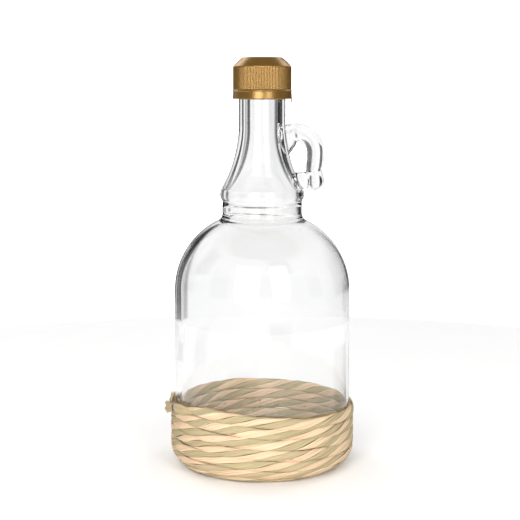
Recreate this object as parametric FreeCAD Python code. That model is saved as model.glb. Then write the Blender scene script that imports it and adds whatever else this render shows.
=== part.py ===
"""A one-litre glass jug with a ring handle, a screw cap and a coiled-rope basket.

Millimetres, +Z up. The origin is the middle of the circle that the coiled base rests on.
The handle points along +X. Every piece is one solid in its own node.
"""
import FreeCAD, Part
import math
import os
from FreeCAD import Vector

UP = Vector(0, 0, 1)
CENTRE = Vector(0, 0, 0)

# --- rope of twisted palm leaf, wound outwards under the jug and then up its wall ---
ROPE_WIDTH = 6.0            # along the wall
ROPE_THICKNESS = 2.6        # square to the wall
ROPE_PITCH = 6.3            # from one lap to the next
ROPE_LAPS = 13
ROPE_GAP = 0.15             # between the rope and the glass
ROPE_TOP_Z = 42.1           # mean height of the upper edge at the rope's end
ROPE_END_AZIMUTH = -150.0   # degrees round from +X; the rope climbs clockwise, seen from above
ROPE_TILT = 3.2             # how far the wound rope rises and dips about its mean height
ROPE_TILT_AZIMUTH = 165.0   # where it is highest
ROPE_END_WIDTH = 4.8        # the last part of the rope tapers to this
ROPE_TAPER_LAPS = 0.17
ROPE_START_R = 1.7          # the curled start that fills the middle of the base
SECTIONS_PER_LAP = 64       # straight spans; their sagitta stays inside the gap to the glass

# --- glass body: outside ---
BODY_R = 51.9
HEEL_R = 11.0
BASE_Z = ROPE_THICKNESS + ROPE_GAP   # the bearing ring sits on the coiled base
PUNT_R = 34.0               # inner edge of the bearing ring
PUNT_Z = 7.2                # top of the hollow under the base
SHOULDER_Z = 104.6          # the straight wall ends here
SHOULDER_R = 46.0           # radius of the shoulder's arc
SHOULDER_FILLET_R = 4.5
COLLAR_R = 23.5
COLLAR_TOP_Z = 157.0
BEAD_CREASE = (23.1, 157.5)
BEAD_CREST = (24.85, 161.2)
BEAD_TOP_Z = 164.6
NECK_R = 13.7
NECK_FLARE_R = 77.0
NECK_FLARE_Z = 203.0        # the flare ends here and the straight neck starts

# --- glass body: inside ---
WALL = 2.6
FLOOR_Z = 6.2
FLOOR_PUNT_Z = 10.8
INNER_HEEL_R = 8.5
INNER_COLLAR_R = 21.0
INNER_FILLET_R = 3.0
INNER_BEAD = (21.5, 163.0)
BORE_R = 9.25               # straight bore of the mouth
BORE_START_Z = 200.0

# --- mouth finish, right-hand thread ---
LIP_Z = 235.4
LIP_EDGE = 0.8
FINISH_R = 14.2
RETAINING_RING_R = 15.6
RETAINING_RING_Z = (219.3, 221.6)
THREAD_PITCH = 3.175
THREAD_CREST_R = 15.3
THREAD_START_Z = 224.9
THREAD_TURNS = 2.0
THREAD_HALF_ROOT = 0.75     # half the ridge's height at its root
THREAD_HALF_CREST = 0.45    # and at its crest
THREAD_ROOT_DEPTH = 0.3     # how far the ridge is sunk into its wall

# --- cap ---
CAP_TOP_Z = 240.9
CAP_FLAT_R = 11.9
CAP_SHOULDER = (16.6, 235.9)
CAP_SKIRT_R = 17.05
CAP_SKIRT_Z = 222.4
CAP_TOP_EDGE = 0.5
CAP_BORE_R = 15.7
CAP_THREAD_CREST_R = 14.65
CAP_THREAD_START_Z = 223.3
CAP_HOLLOW = (11.0, 239.5)  # radius and height of the hollow over the liner
LINER_T = 1.5
LINER_R = 14.3
LINER_TOP_Z = LIP_Z + LINER_T
LINER_GROOVE_Z = 234.6      # below this the cap's bore widens to the thread's radius

# --- tamper band ---
BAND_Z = (216.9, 222.0)
BAND_R = 17.35
BAND_BORE_R = 16.2
BAND_HOOK_R = 14.4          # inner edge of the lip that catches under the retaining ring
BAND_HOOK_Z = 218.3
BAND_TAB_Z = 214.9          # the stub of inner lip that shows below the band
BAND_TAB_WIDTH = 4.0

# --- ring handle ---
HANDLE_R = 5.0              # radius of the glass rod
HANDLE_TOP_Z = 197.9        # axis of the rod where it leaves the neck
HANDLE_BEND_X = 19.4
HANDLE_BEND_R = 12.0
HANDLE_END_Z = 169.2        # centre of the knob, and axis of the lower stub
HANDLE_KNOB_R = 5.3
STUB_END_X = 25.5
ROOT_FROM_X = 9.0
ROOT_R = 8.4                # the upper root widens to this inside the neck
ROOT_Z = 194.0
ROOT_STEP = 0.15            # its thin end stops just inside the rod

# --- staple that pins the rope's end ---
STAPLE_AZIMUTH = -157.0
STAPLE_Z = (36.4, 40.6)
STAPLE_WIRE_R = 0.4
STAPLE_CROWN_R = 57.55      # distance of the crown from the jug's axis
STAPLE_LEG = 3.6


class Outline:
    """A closed outline in the XZ plane, drawn as (radius, height) points."""

    def __init__(self, r, z):
        self.first = Vector(r, 0, z)
        self.last = self.first
        self.edges = []

    def line(self, r, z):
        end = Vector(r, 0, z)
        self.edges.append(Part.LineSegment(self.last, end).toShape())
        self.last = end

    def arc(self, middle, end):
        middle = Vector(middle[0], 0, middle[1])
        end = Vector(end[0], 0, end[1])
        self.edges.append(Part.Arc(self.last, middle, end).toShape())
        self.last = end

    def turn(self, centre, end):
        """An arc about a centre, of less than half a turn, to a point as far from it."""
        centre = Vector(centre[0], 0, centre[1])
        end_point = Vector(end[0], 0, end[1])
        radius = (self.last - centre).Length
        bisector = (self.last - centre) + (end_point - centre)
        middle = centre + bisector.normalize() * radius
        self.arc((middle.x, middle.z), end)

    def revolve(self):
        self.line(self.first.x, self.first.z)
        return Part.Face(Part.Wire(self.edges)).revolve(CENTRE, UP, 360)


def fillet_between(wall_r, arc_r, arc_centre, fillet_r):
    """Centre of a fillet between a vertical wall and the dome below it, and its point on the dome."""
    centre_r = wall_r + fillet_r
    reach = arc_r + fillet_r
    rise = math.sqrt(reach ** 2 - (centre_r - arc_centre[0]) ** 2)
    touch_r = arc_centre[0] + (centre_r - arc_centre[0]) * arc_r / reach
    touch_z = arc_centre[1] + rise * arc_r / reach
    return (centre_r, arc_centre[1] + rise), (touch_r, touch_z)


def thread(root_r, crest_r, start_z, turns, sunk):
    """A right-hand helical ridge; its root is sunk into the wall that carries it."""
    helix = Part.makeHelix(THREAD_PITCH, THREAD_PITCH * turns, root_r)
    inner_r = root_r + sunk
    corners = [Vector(inner_r, 0, -THREAD_HALF_ROOT), Vector(crest_r, 0, -THREAD_HALF_CREST),
               Vector(crest_r, 0, THREAD_HALF_CREST), Vector(inner_r, 0, THREAD_HALF_ROOT)]
    profile = Part.makePolygon(corners + corners[:1])
    sweep = Part.BRepOffsetAPI.MakePipeShell(Part.Wire(helix))
    sweep.setFrenetMode(True)
    sweep.add(profile)
    sweep.build()
    sweep.makeSolid()
    ridge = sweep.shape()
    ridge.translate(Vector(0, 0, start_z))
    return ridge


def bottle_outside():
    """The jug's outer form, filled in."""
    wall = Outline(0, PUNT_Z)
    wall.arc((PUNT_R * 0.55, (PUNT_Z * 2 + BASE_Z) / 3), (PUNT_R, BASE_Z))
    wall.line(BODY_R - HEEL_R, BASE_Z)
    wall.turn((BODY_R - HEEL_R, BASE_Z + HEEL_R), (BODY_R, BASE_Z + HEEL_R))
    wall.line(BODY_R, SHOULDER_Z)
    dome = (BODY_R - SHOULDER_R, SHOULDER_Z)
    fillet, touch = fillet_between(COLLAR_R, SHOULDER_R, dome, SHOULDER_FILLET_R)
    wall.turn(dome, touch)
    wall.turn(fillet, (COLLAR_R, fillet[1]))
    wall.line(COLLAR_R, COLLAR_TOP_Z)
    wall.line(*BEAD_CREASE)
    flare_centre_r = NECK_R + NECK_FLARE_R
    flare_foot_r = flare_centre_r - math.sqrt(NECK_FLARE_R ** 2 - (NECK_FLARE_Z - BEAD_TOP_Z) ** 2)
    wall.arc(BEAD_CREST, (flare_foot_r, BEAD_TOP_Z))
    wall.turn((flare_centre_r, NECK_FLARE_Z), (NECK_R, NECK_FLARE_Z))
    low, high = RETAINING_RING_Z
    wall.line(NECK_R, low - 1.0)
    wall.line(RETAINING_RING_R, low)
    wall.line(RETAINING_RING_R, low + 0.8)
    wall.line(FINISH_R, high)
    wall.line(FINISH_R, LIP_Z - LIP_EDGE)
    wall.turn((FINISH_R - LIP_EDGE, LIP_Z - LIP_EDGE), (FINISH_R - LIP_EDGE, LIP_Z))
    wall.line(0, LIP_Z)
    return wall.revolve()


def bottle_inside():
    """The hollow of the jug, up through its mouth."""
    above_lip = 3.0
    hollow = Outline(0, FLOOR_PUNT_Z)
    hollow.arc((PUNT_R * 0.55, (FLOOR_PUNT_Z * 2 + FLOOR_Z) / 3), (PUNT_R, FLOOR_Z))
    inner_r = BODY_R - WALL
    hollow.line(inner_r - INNER_HEEL_R, FLOOR_Z)
    hollow.turn((inner_r - INNER_HEEL_R, FLOOR_Z + INNER_HEEL_R), (inner_r, FLOOR_Z + INNER_HEEL_R))
    hollow.line(inner_r, SHOULDER_Z)
    dome = (BODY_R - SHOULDER_R, SHOULDER_Z)
    fillet, touch = fillet_between(INNER_COLLAR_R, SHOULDER_R - WALL, dome, INNER_FILLET_R)
    hollow.turn(dome, touch)
    hollow.turn(fillet, (INNER_COLLAR_R, fillet[1]))
    hollow.line(INNER_COLLAR_R, COLLAR_TOP_Z)
    hollow.line(*INNER_BEAD)
    rise = BORE_START_Z - INNER_BEAD[1]
    spread = INNER_BEAD[0] - BORE_R
    flare_r = (rise ** 2 + spread ** 2) / (2 * spread)
    hollow.turn((BORE_R + flare_r, BORE_START_Z), (BORE_R, BORE_START_Z))
    hollow.line(BORE_R, LIP_Z + above_lip)
    hollow.line(0, LIP_Z + above_lip)
    return hollow.revolve()


def glass_bottle():
    ridge = thread(FINISH_R, THREAD_CREST_R, THREAD_START_Z, THREAD_TURNS, -THREAD_ROOT_DEPTH)
    return bottle_outside().cut(bottle_inside()).fuse(ridge)


def glass_handle():
    """A rod that leaves the neck, bends down to a knob and rests on a short stub."""
    bend_x = HANDLE_BEND_X
    drop_x = bend_x + HANDLE_BEND_R
    bend_z = HANDLE_TOP_Z - HANDLE_BEND_R
    corner = HANDLE_BEND_R * math.sqrt(0.5)
    start = Vector(ROOT_FROM_X, 0, HANDLE_TOP_Z)
    bend_start = Vector(bend_x, 0, HANDLE_TOP_Z)
    bend_middle = Vector(bend_x + corner, 0, bend_z + corner)
    bend_end = Vector(drop_x, 0, bend_z)
    knob = Vector(drop_x, 0, HANDLE_END_Z)
    path = Part.Wire([Part.LineSegment(start, bend_start).toShape(),
                      Part.Arc(bend_start, bend_middle, bend_end).toShape(),
                      Part.LineSegment(bend_end, knob).toShape()])
    section = Part.Wire(Part.makeCircle(HANDLE_R, start, Vector(1, 0, 0)))
    rod = path.makePipeShell([section], True, False)
    stub_length = STUB_END_X - ROOT_FROM_X
    stub = Part.makeCylinder(HANDLE_R, stub_length, Vector(ROOT_FROM_X, 0, HANDLE_END_Z), Vector(1, 0, 0))
    stub_end = Part.makeSphere(HANDLE_R, Vector(STUB_END_X, 0, HANDLE_END_Z))
    knob_ball = Part.makeSphere(HANDLE_KNOB_R, knob)
    pieces = rod.fuse([stub, stub_end, knob_ball, handle_root()])
    return pieces.cut(bottle_outside())


def handle_root():
    """The tall root where the rod is fused to the neck."""
    start = Vector(ROOT_FROM_X, 0, ROOT_Z)
    end = Vector(HANDLE_BEND_X, 0, HANDLE_TOP_Z)
    return Part.makeCone(ROOT_R, HANDLE_R - ROOT_STEP, (end - start).Length, start, end - start)


def cap_shell():
    shell = Outline(0, CAP_TOP_Z)
    shell.line(CAP_FLAT_R - CAP_TOP_EDGE, CAP_TOP_Z)
    shell.arc((CAP_FLAT_R + 0.1, CAP_TOP_Z - 0.15), (CAP_FLAT_R + 0.5, CAP_TOP_Z - 0.5))
    shell.line(*CAP_SHOULDER)
    shell.line(CAP_SKIRT_R, CAP_SKIRT_Z)
    shell.line(CAP_BORE_R, CAP_SKIRT_Z)
    shell.line(CAP_BORE_R, LINER_GROOVE_Z)
    shell.line(LINER_R + 0.05, LINER_GROOVE_Z + 1.2)
    shell.line(LINER_R + 0.05, LINER_TOP_Z)
    shell.line(CAP_HOLLOW[0], LINER_TOP_Z)
    shell.line(*CAP_HOLLOW)
    shell.line(0, CAP_HOLLOW[1])
    ridge = thread(CAP_BORE_R, CAP_THREAD_CREST_R, CAP_THREAD_START_Z, THREAD_TURNS, THREAD_ROOT_DEPTH)
    return shell.revolve().fuse(ridge)


def cap_liner():
    return Part.makeCylinder(LINER_R, LINER_T, Vector(0, 0, LIP_Z))


def tamper_band():
    low, high = BAND_Z
    band = Outline(BAND_R - 0.2, high)
    band.line(BAND_R, high - 0.3)
    band.line(BAND_R, low + 0.3)
    band.line(BAND_R - 0.3, low)
    band.line(BAND_HOOK_R + 0.3, low)
    band.line(BAND_HOOK_R, BAND_HOOK_Z - 0.3)
    band.line(BAND_HOOK_R, BAND_HOOK_Z)
    band.line(BAND_BORE_R, BAND_HOOK_Z)
    band.line(BAND_BORE_R, high)
    ring = band.revolve()
    tab_r = BAND_HOOK_R + 1.2
    tab = Part.makeCylinder(tab_r, low + 0.4 - BAND_TAB_Z, Vector(0, 0, BAND_TAB_Z))
    tab = tab.cut(Part.makeCylinder(BAND_HOOK_R, BAND_R, Vector(0, 0, BAND_TAB_Z - 1)))
    slot = Part.makeBox(BAND_R, BAND_TAB_WIDTH, BAND_R, Vector(0, -BAND_TAB_WIDTH / 2, BAND_TAB_Z - 1))
    return ring.fuse(tab.common(slot))


def wall_point(along):
    """Where the rope's middle lies at a distance along its route from the axis, up the jug's wall.

    Gives the radius, the height and the angle between the wall and the ground."""
    bend_r = HEEL_R + ROPE_GAP + ROPE_THICKNESS / 2
    flat = BODY_R - HEEL_R
    heel = bend_r * math.pi / 2
    if along < flat:
        return along, ROPE_THICKNESS / 2, 0.0
    if along < flat + heel:
        angle = (along - flat) / bend_r
        return flat + bend_r * math.sin(angle), BASE_Z + HEEL_R - bend_r * math.cos(angle), angle
    return flat + bend_r, BASE_Z + HEEL_R + along - flat - heel, math.pi / 2


def rope_end_distance():
    """Distance along the wall at which the rope's middle ends, without the tilt."""
    bend_r = HEEL_R + ROPE_GAP + ROPE_THICKNESS / 2
    straight = ROPE_TOP_Z - ROPE_WIDTH / 2 - BASE_Z - HEEL_R
    return BODY_R - HEEL_R + bend_r * math.pi / 2 + straight


def stadium(middle, along, across, width, thickness):
    """A flat oval: two straight sides joined by half circles."""
    half = along * (width - thickness) / 2
    side = across * thickness / 2
    tip = along * width / 2
    return Part.Wire([
        Part.LineSegment(middle - half + side, middle + half + side).toShape(),
        Part.Arc(middle + half + side, middle + tip, middle + half - side).toShape(),
        Part.LineSegment(middle + half - side, middle - half - side).toShape(),
        Part.Arc(middle - half - side, middle - tip, middle - half + side).toShape()])


def outward(azimuth):
    return Vector(math.cos(math.radians(azimuth)), math.sin(math.radians(azimuth)), 0)


def rope_section(lap):
    """The rope's section after so many laps from the middle of the base."""
    azimuth = ROPE_END_AZIMUTH - 360.0 * lap
    end = rope_end_distance()
    level = end - ROPE_PITCH * (ROPE_LAPS - lap)
    tilt = ROPE_TILT * math.cos(math.radians(azimuth - ROPE_TILT_AZIMUTH)) * level / end
    taper = max(0.0, 1.0 - (ROPE_LAPS - lap) / ROPE_TAPER_LAPS)
    width = ROPE_WIDTH - (ROPE_WIDTH - ROPE_END_WIDTH) * taper
    r, z, angle = wall_point(level + tilt - (ROPE_WIDTH - width) / 2)
    lowest = ROPE_THICKNESS / 2 + math.sin(angle) * (width - ROPE_THICKNESS) / 2
    radial = outward(azimuth)
    along = radial * math.cos(angle) + UP * math.sin(angle)
    across = radial * math.sin(angle) - UP * math.cos(angle)
    return stadium(radial * r + UP * max(z, lowest), along, across, width, ROPE_THICKNESS)


def rope_lap(number):
    """One lap of the rope, from the end of the lap before it."""
    steps = range(SECTIONS_PER_LAP + 1)
    sections = [rope_section(number - 1 + step / SECTIONS_PER_LAP) for step in steps]
    lap = Part.makeLoft(sections, True, True)
    if number == 1:
        lap = lap.fuse(Part.makeCylinder(ROPE_START_R, ROPE_THICKNESS))
    return lap


def rope_end_tail():
    """The rope's loose end: it leaves the last lap, crosses the lap below and splays to a tip."""
    stations = [(-157.0, 55.9, 38.6, 5.0, 2.4, -20.0),
                (-165.0, 56.9, 36.4, 4.8, 2.2, -30.0),
                (-173.0, 57.9, 34.1, 3.6, 1.8, -40.0),
                (-180.5, 59.0, 31.5, 1.0, 0.8, -40.0)]
    sections = [rope_section(ROPE_LAPS)]
    for azimuth, r, z, width, thickness, dip in stations:
        radial = outward(azimuth)
        forward = outward(azimuth - 90)
        lean = math.radians(-dip)
        along = UP * math.cos(lean) + forward * math.sin(lean)
        sections.append(stadium(radial * r + UP * z, along, radial, width, thickness))
    return Part.makeLoft(sections, True, False)


def leaf_tip():
    """The pointed end of one strand, which stands up against the glass behind the rope's end."""
    azimuth = 178.0
    radial = outward(azimuth)
    sideways = outward(azimuth + 90)
    stations = [(53.3, 38.2, 5.5, 2.2), (53.0, 40.4, 3.4, 1.5), (52.6, 42.8, 0.9, 0.6)]
    sections = []
    for r, z, width, thickness in stations:
        sections.append(stadium(radial * r + UP * z, sideways, radial, width, thickness))
    return Part.makeLoft(sections, True, False)


def end_staple():
    """A U of steel wire, its crown upright on the rope's end and its legs in the two laps."""
    radial = outward(STAPLE_AZIMUTH)
    low, high = STAPLE_Z
    inner = STAPLE_CROWN_R - STAPLE_LEG
    foot = radial * inner
    crown = Part.makeCylinder(STAPLE_WIRE_R, high - low, radial * STAPLE_CROWN_R + UP * low, UP)
    parts = []
    for z in STAPLE_Z:
        parts.append(Part.makeCylinder(STAPLE_WIRE_R, STAPLE_LEG, foot + UP * z, radial))
        parts.append(Part.makeSphere(STAPLE_WIRE_R, radial * STAPLE_CROWN_R + UP * z))
    return crown.fuse(parts).removeSplitter()


def build_nodes():
    nodes = {
        "glass_bottle": glass_bottle(),
        "glass_handle": glass_handle(),
        "cap_shell": cap_shell(),
        "cap_liner": cap_liner(),
        "tamper_band": tamper_band(),
        "end_staple": end_staple(),
    }
    laps = {number: rope_lap(number) for number in range(1, ROPE_LAPS + 1)}
    top_laps = [laps[ROPE_LAPS - 1], laps[ROPE_LAPS]]
    staple = nodes["end_staple"]
    nodes["rope_end_tail"] = rope_end_tail().cut(top_laps).cut(staple)
    nodes["leaf_tip"] = leaf_tip().cut(top_laps + [nodes["rope_end_tail"]])
    for number, lap in laps.items():
        nodes["rope_lap_%02d" % number] = lap.cut(staple) if number >= ROPE_LAPS - 1 else lap
    return nodes


os.makedirs("parts", exist_ok=True)
for name, shape in build_nodes().items():
    box = shape.BoundBox
    print("%-14s valid %s solids %d volume %9.1f  x %6.1f %6.1f  y %6.1f %6.1f  z %6.1f %6.1f"
          % (name, shape.isValid(), len(shape.Solids), shape.Volume,
             box.XMin, box.XMax, box.YMin, box.YMax, box.ZMin, box.ZMax))
    shape.exportStep("parts/%s.step" % name)
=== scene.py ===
"""Looks for a clear glass jug with a ring handle, a screw cap and a basket of coiled palm rope.

Shapes below are drawn in millimetres, in the frame's own axes, and MM turns them into metres.
"""

import math

import bmesh
import bpy
import numpy as np
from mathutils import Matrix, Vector


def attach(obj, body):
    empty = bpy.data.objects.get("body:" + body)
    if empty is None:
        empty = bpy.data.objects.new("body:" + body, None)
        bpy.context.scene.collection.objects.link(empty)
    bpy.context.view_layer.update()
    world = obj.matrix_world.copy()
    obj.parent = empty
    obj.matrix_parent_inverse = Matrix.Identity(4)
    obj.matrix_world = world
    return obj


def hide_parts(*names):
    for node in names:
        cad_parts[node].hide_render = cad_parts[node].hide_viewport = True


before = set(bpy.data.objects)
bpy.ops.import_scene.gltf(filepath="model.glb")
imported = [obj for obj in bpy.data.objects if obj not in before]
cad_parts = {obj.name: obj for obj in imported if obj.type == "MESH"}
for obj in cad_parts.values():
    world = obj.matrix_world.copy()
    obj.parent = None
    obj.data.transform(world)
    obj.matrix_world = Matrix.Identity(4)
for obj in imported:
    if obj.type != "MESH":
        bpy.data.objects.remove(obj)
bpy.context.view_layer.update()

MM = 0.001
TAU = 2 * math.pi
scene = bpy.context.scene
rng = np.random.default_rng(7)


# ---------------------------------------------------------------- camera, stage and light

LENS, SENSOR = 88.6, 36.0       # mm
CAMERA_PLACE = (-1.3, -752.0, 222.5)
CAMERA_TIP = 7.6                # degrees below level
TABLE_LAMP = 6.8                # watts
TABLE_R = 0.5                   # metres
CEILING = 0.36                  # how much darker the ceiling is
CEILING_FROM, CEILING_FULL = 0.5, 0.9   # the Z of a direction where it starts and is complete
SKY_LEVEL = 0.42                # the studio's walls as light on matt things
MIRROR_HIGH = 0.6               # the studio as outer surfaces mirror it: its bright back ...
MIRROR_LOW = 0.12               # ... and its dark front
MIRROR_FRONT, MIRROR_BACK = -0.2, 0.7   # the Y of a direction where the front ends and the back starts
GLASS_GAIN = 0.8                # makes up for the lamps' light that a path tracer loses at clear glass
GLASS_GAIN_FROM, GLASS_GAIN_FULL = 3.5, 6.5     # glass surfaces passed
SIDE_FALL = 0.6                 # how much darker the light on matt things is at +X and -X
FOOT_FADE = 0.06                # softness of a gap's lower end
TOP_FADE = 0.35                 # softness of its upper end, as a share of its height
GAPS = [  # azimuth, half width of the dark core and of its soft edge, darkness, lowest and highest height
    (44, 22, 33, 0.98, -0.17, 0.45),
    (79, 3, 9, 0.13, -0.30, 0.12),
    (117, 7, 12, 0.97, -0.22, 0.45),
    (151, 4, 13, 0.50, -0.12, 0.30),
    (204, 9, 16, 0.85, -0.12, 0.45),
    (250, 5, 10, 0.35, -0.06, 0.45),
    (288, 6, 12, 0.75, -0.06, 0.45),
    (341, 7, 13, 0.85, -0.12, 0.45),
]
CARDS = ((27, 14, 22), (243, 14, 22))           # azimuth, half width of the core and of its soft edge
CARDS_NEAR, CARDS_FAR = (0.10, 0.13), (0.34, 0.38)  # metres from the jug's axis
CARD_COLOUR = (0.02, 0.02, 0.02, 1.0)
WHITE = (1.0, 1.0, 1.0, 1.0)


def add_object(name, data):
    thing = bpy.data.objects.new(name, data)
    scene.collection.objects.link(thing)
    return thing


def make_camera():
    """A short telephoto in front of the jug, level with its cap and tipped down a little."""
    data = bpy.data.cameras.new("camera")
    data.sensor_width = SENSOR
    data.lens = LENS
    data.clip_start = 0.01
    camera = add_object("camera", data)
    camera.location = [v * MM for v in CAMERA_PLACE]
    camera.rotation_euler = (math.radians(90 - CAMERA_TIP), 0, 0)
    scene.camera = camera


def socket(node, name, value):
    node.inputs[name].default_value = value


class Nodes:
    """The nodes of a material or a world, with short ways to add the kinds that the looks are made of."""

    def __init__(self, owner):
        owner.use_nodes = True
        self.named = owner.node_tree.nodes
        self.link = owner.node_tree.links.new

    def new(self, kind, **sockets):
        """A node. A socket's name has underscores for its spaces."""
        node = self.named.new("ShaderNode" + kind)
        for name, value in sockets.items():
            self.put(node.inputs[name.replace("_", " ")], value)
        return node

    def put(self, place, value):
        """Links an output to a socket, or sets the socket to a plain value."""
        if isinstance(value, bpy.types.NodeSocket):
            self.link(value, place)
        else:
            place.default_value = value

    def maths(self, operation, *values):
        node = self.new("Math")
        node.operation = operation
        for place, value in zip(node.inputs, values):
            self.put(place, value)
        return node.outputs[0]

    def times(self, first, *others):
        for other in others:
            first = self.maths("MULTIPLY", first, other)
        return first

    def plus(self, a, b):
        return self.maths("ADD", a, b)

    def rest_of(self, value):
        """One minus the value."""
        return self.maths("SUBTRACT", 1.0, value)

    def ramp(self, value, low, high):
        """From 0 at low to 1 at high, softly."""
        node = self.new("MapRange", Value=value, From_Min=low, From_Max=high)
        node.interpolation_type = "SMOOTHSTEP"
        return node.outputs[0]

    def sector(self, x, y, length, azimuth, core, edge):
        """1 within so many degrees of an azimuth, and 0 past a wider angle."""
        angle = math.radians(azimuth)
        along = self.plus(self.times(x, math.cos(angle)), self.times(y, math.sin(angle)))
        near = self.maths("DIVIDE", along, length)
        return self.ramp(near, math.cos(math.radians(edge)), math.cos(math.radians(core)))

    def largest(self, values):
        top = values[0]
        for value in values[1:]:
            top = self.maths("MAXIMUM", top, value)
        return top

    def mix(self, share, a, b):
        """A colour between two."""
        node = self.new("Mix")
        node.data_type = "RGBA"
        for number, value in ((0, share), (6, a), (7, b)):
            self.put(node.inputs[number], value)
        return node.outputs[2]

    def bump(self, height, strength, distance):
        return self.new("Bump", Height=height, Strength=strength, Distance=distance).outputs["Normal"]

    def place(self):
        return self.new("TexCoord").outputs["Object"]

    def noise(self, place, scale, detail=2.0):
        return self.new("TexNoise", Vector=place, Scale=scale, Detail=detail).outputs["Fac"]


def make_world():
    """A white studio. Dark gaps between its walls, seen through the glass, draw the edges of the jug."""
    world = bpy.data.worlds.new("studio")
    scene.world = world
    nodes = Nodes(world)
    times, plus, rest_of, ramp = nodes.times, nodes.plus, nodes.rest_of, nodes.ramp
    split = nodes.new("SeparateXYZ", Vector=nodes.new("TexCoord").outputs["Generated"])
    x, y, height = split.outputs
    level_length = nodes.maths("SQRT", rest_of(times(height, height)))
    dark = []
    for azimuth, core, edge, depth, foot, top in GAPS:
        fade = TOP_FADE * (top - foot)
        past_foot = ramp(height, foot, foot + min(fade, FOOT_FADE))
        past_top = ramp(height, top - fade, top + fade)
        tall = times(past_foot, rest_of(past_top))
        dark.append(times(nodes.sector(x, y, level_length, azimuth, core, edge), tall, depth))
    clear = rest_of(nodes.largest(dark))

    path = nodes.new("LightPath").outputs
    matt = nodes.maths("GREATER_THAN", path["Diffuse Depth"], 0.5)
    ceiling = rest_of(times(ramp(height, CEILING_FROM, CEILING_FULL), CEILING))
    sky = times(rest_of(times(x, x, SIDE_FALL)), SKY_LEVEL)
    inside = ramp(path["Transmission Depth"], GLASS_GAIN_FROM, GLASS_GAIN_FULL)
    sky = times(sky, plus(times(inside, GLASS_GAIN), 1.0))
    mirrored = times(path["Is Glossy Ray"], nodes.maths("LESS_THAN", path["Transmission Depth"], 0.5))
    dim = times(rest_of(ramp(y, MIRROR_FRONT, MIRROR_BACK)), 1.0 - MIRROR_LOW)
    dim = times(plus(dim, 1.0 - MIRROR_HIGH), mirrored)
    clear = times(clear, rest_of(nodes.maths("MINIMUM", dim, 1.0 - MIRROR_LOW)))
    level = times(plus(times(clear, rest_of(matt)), times(matt, sky)), ceiling)
    nodes.put(nodes.named["Background"].inputs["Strength"], plus(level, path["Is Camera Ray"]))
    socket(nodes.named["Background"], "Color", WHITE)


def new_material(name, roughness, specular=0.5, metallic=0.0):
    """A material with its nodes and its Principled shader."""
    material = bpy.data.materials.new(name)
    nodes = Nodes(material)
    shader = nodes.named["Principled BSDF"]
    socket(shader, "Roughness", roughness)
    socket(shader, "Specular IOR Level", specular)
    socket(shader, "Metallic", metallic)
    return material, nodes, shader


def area_light(name, place, target, size, power, colour=(1, 1, 1)):
    data = bpy.data.lights.new(name, "AREA")
    data.shape = "RECTANGLE"
    data.size, data.size_y = size
    data.energy = power
    data.color = colour
    light = add_object(name, data)
    light.location = place
    light.rotation_euler = (Vector(target) - Vector(place)).to_track_quat("-Z", "Y").to_euler()
    return light


def make_lights(glass):
    """Studio lamps for the matt pieces. The glass lets them through, and mirrors two dimmer windows."""
    lamps = [
        area_light("key_window", (-0.28, -1.1, 0.46), (0, 0, 0.12), (0.56, 0.95), 12.5, (1.0, 0.985, 0.96)),
        area_light("fill_window", (0.5, -1.05, 0.45), (0, 0, 0.12), (0.42, 0.9), 6.0),
        area_light("back_left", (-0.8, 0.9, 0.9), (0, 0, 0.1), (0.8, 0.8), 5.0),
        area_light("back_right", (0.9, 0.8, 0.9), (0, 0, 0.1), (0.8, 0.8), 4.0),
    ]
    all_but_glass = bpy.data.collections.new("all_but_glass")
    all_but_glass.objects.link(glass)
    all_but_glass.collection_objects[0].light_linking.link_state = "EXCLUDE"
    for lamp in lamps:
        lamp.light_linking.receiver_collection = all_but_glass
        lamp.light_linking.blocker_collection = all_but_glass
    glass_only = bpy.data.collections.new("glass_only")
    glass_only.objects.link(glass)
    for name, place, size, power in (("left_pane", (-0.44, -1.05, 0.46), (0.6, 1.15), 5.8),
                                     ("right_pane", (0.44, -1.05, 0.48), (0.46, 1.15), 3.9)):
        pane = area_light(name, place, (0, 0, 0.12), size, power)
        pane.light_linking.receiver_collection = glass_only


def light_floor(floor):
    """A lamp of the table's own, which keeps it evenly white."""
    lamp = area_light("table_lamp", (0, 0.25, 1.3), (0, 0.25, 0), (1.6, 1.6), TABLE_LAMP)
    only = bpy.data.collections.new("table_only")
    only.objects.link(floor)
    lamp.light_linking.receiver_collection = only
    lamp.light_linking.blocker_collection = only


def lay_cards(nodes, table):
    """Black cards flat on the table, which only the glass shows, for the jug's edges from higher up."""
    split = nodes.new("SeparateXYZ", Vector=nodes.new("TexCoord").outputs["Object"])
    x, y, _ = split.outputs
    radius = nodes.maths("SQRT", nodes.plus(nodes.times(x, x), nodes.times(y, y)))
    ring = nodes.times(nodes.ramp(radius, *CARDS_NEAR), nodes.rest_of(nodes.ramp(radius, *CARDS_FAR)))
    cards = nodes.largest([nodes.sector(x, y, radius, *row) for row in CARDS])
    path = nodes.new("LightPath").outputs
    in_glass = nodes.times(nodes.maths("GREATER_THAN", path["Transmission Depth"], 0.5),
                           nodes.maths("LESS_THAN", path["Diffuse Depth"], 0.5))
    share = nodes.times(ring, cards, in_glass)
    mix = nodes.new("MixShader")
    black = nodes.new("BsdfDiffuse", Color=CARD_COLOUR)
    for place, value in zip(mix.inputs, (share, table.outputs[0], black.outputs[0])):
        nodes.put(place, value)
    nodes.put(nodes.named["Material Output"].inputs["Surface"], mix.outputs[0])


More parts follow.
